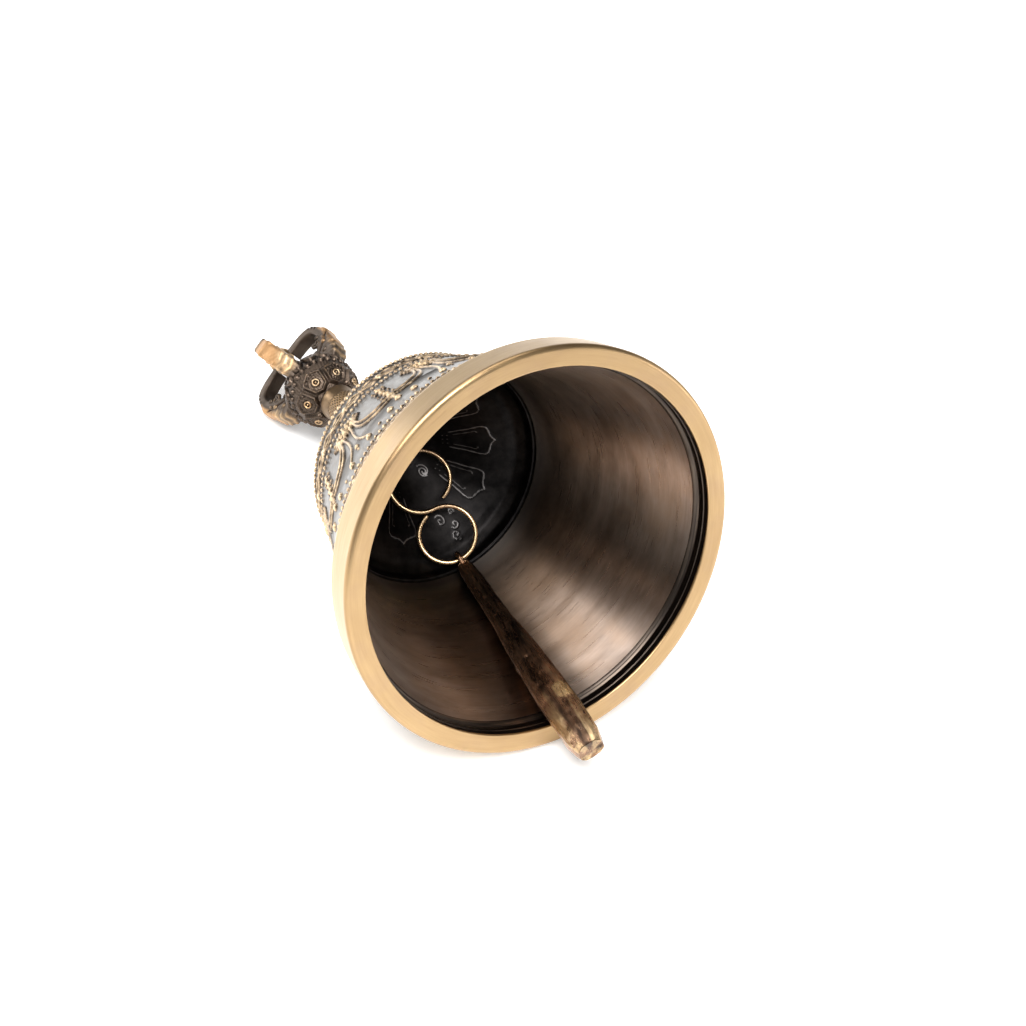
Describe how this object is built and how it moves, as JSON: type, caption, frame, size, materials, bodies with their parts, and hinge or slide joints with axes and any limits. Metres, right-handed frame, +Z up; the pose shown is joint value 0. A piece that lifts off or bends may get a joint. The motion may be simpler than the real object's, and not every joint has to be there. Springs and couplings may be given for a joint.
{
  "type": "tibetan bell",
  "caption": "Small cast bronze ritual hand bell with a flared embossed cup, a half-vajra handle, and a faceted clapper hung on a wire S-hook, lying on its side.",
  "frame": {"origin": "on the ground under the middle of the bounding box of the bell as it lies", "axes": "+Z up; +Y from the mouth side to the handle side, along the ground; +X across"},
  "size_m": [0.0766, 0.125, 0.0742],
  "materials": {
    "bell_bronze": "antiqued cast bronze, dark ground with worn golden high points, brushed inside",
    "neck_bronze": "rough golden cast bronze",
    "hub_bronze": "dark antiqued cast bronze",
    "prong_bronze": "antiqued cast bronze, golden where handled",
    "tip_bronze": "cast bronze, worn golden",
    "eye_iron": "dark, unpolished",
    "hook_brass": "bright drawn wire",
    "clapper_bronze": "rough cast, copper brown with worn golden patches"
  },
  "bodies": {
    "bell": {"bell_cup": "bell_bronze", "handle_neck": "neck_bronze", "lotus_hub": "hub_bronze", "prong_lower_right": "prong_bronze", "prong_lower_left": "prong_bronze", "prong_upper_left": "prong_bronze", "prong_upper_right": "prong_bronze", "centre_prong": "tip_bronze", "crown_eye": "eye_iron"},
    "hook": {"s_hook": "hook_brass"},
    "clapper": {"clapper": "clapper_bronze"}
  },
  "joints": [
    {"name": "hook_swing", "type": "hinge", "parent": "bell", "child": "hook", "pos_m": [0.0001, 0.00837, 0.02209], "axis": [-0.8952, 0.1326, -0.4254], "range_deg": [0, 30]},
    {"name": "clapper_swing", "type": "hinge", "parent": "hook", "child": "clapper", "pos_m": [0.00437, -0.0086, 0.00779], "axis": [-0.8952, 0.1326, -0.4254], "range_deg": [0, 30]}
  ]
}
